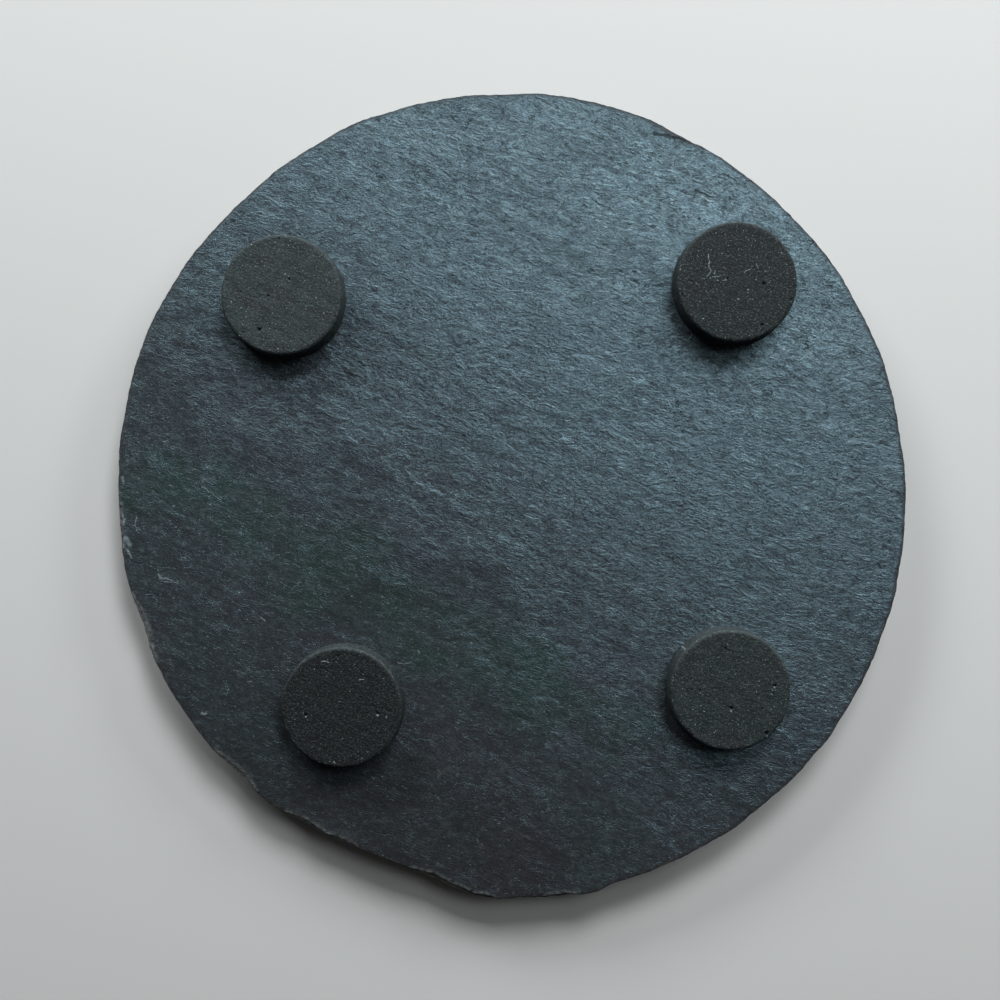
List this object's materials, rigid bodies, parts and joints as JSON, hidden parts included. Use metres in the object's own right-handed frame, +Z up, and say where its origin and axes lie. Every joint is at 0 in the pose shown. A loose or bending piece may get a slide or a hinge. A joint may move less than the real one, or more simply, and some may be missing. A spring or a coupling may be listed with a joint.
{
  "type": "drink coaster",
  "caption": "Round hand-cut slate drink coaster with a knapped rim, standing on stick-on foam feet.",
  "frame": {"origin": "on the table under the middle of the slate's outline, between the four feet", "axes": "+Z up through the drinking face; +X and -Y as the picture's right and up, since it shows the coaster turned over"},
  "size_m": [0.0992, 0.1014, 0.008],
  "materials": {
    "slate": "riven, matt with a faint sheen",
    "foam": "matt closed-cell EVA foam",
    "adhesive_film": "thin dark film"
  },
  "bodies": {
    "root": {"slate_disc": "slate", "foot_front_left": "foam", "foot_front_right": "foam", "foot_back_left": "foam", "foot_back_right": "foam", "adhesive_front_left": "adhesive_film", "adhesive_front_right": "adhesive_film", "adhesive_back_left": "adhesive_film", "adhesive_back_right": "adhesive_film"}
  },
  "joints": []
}
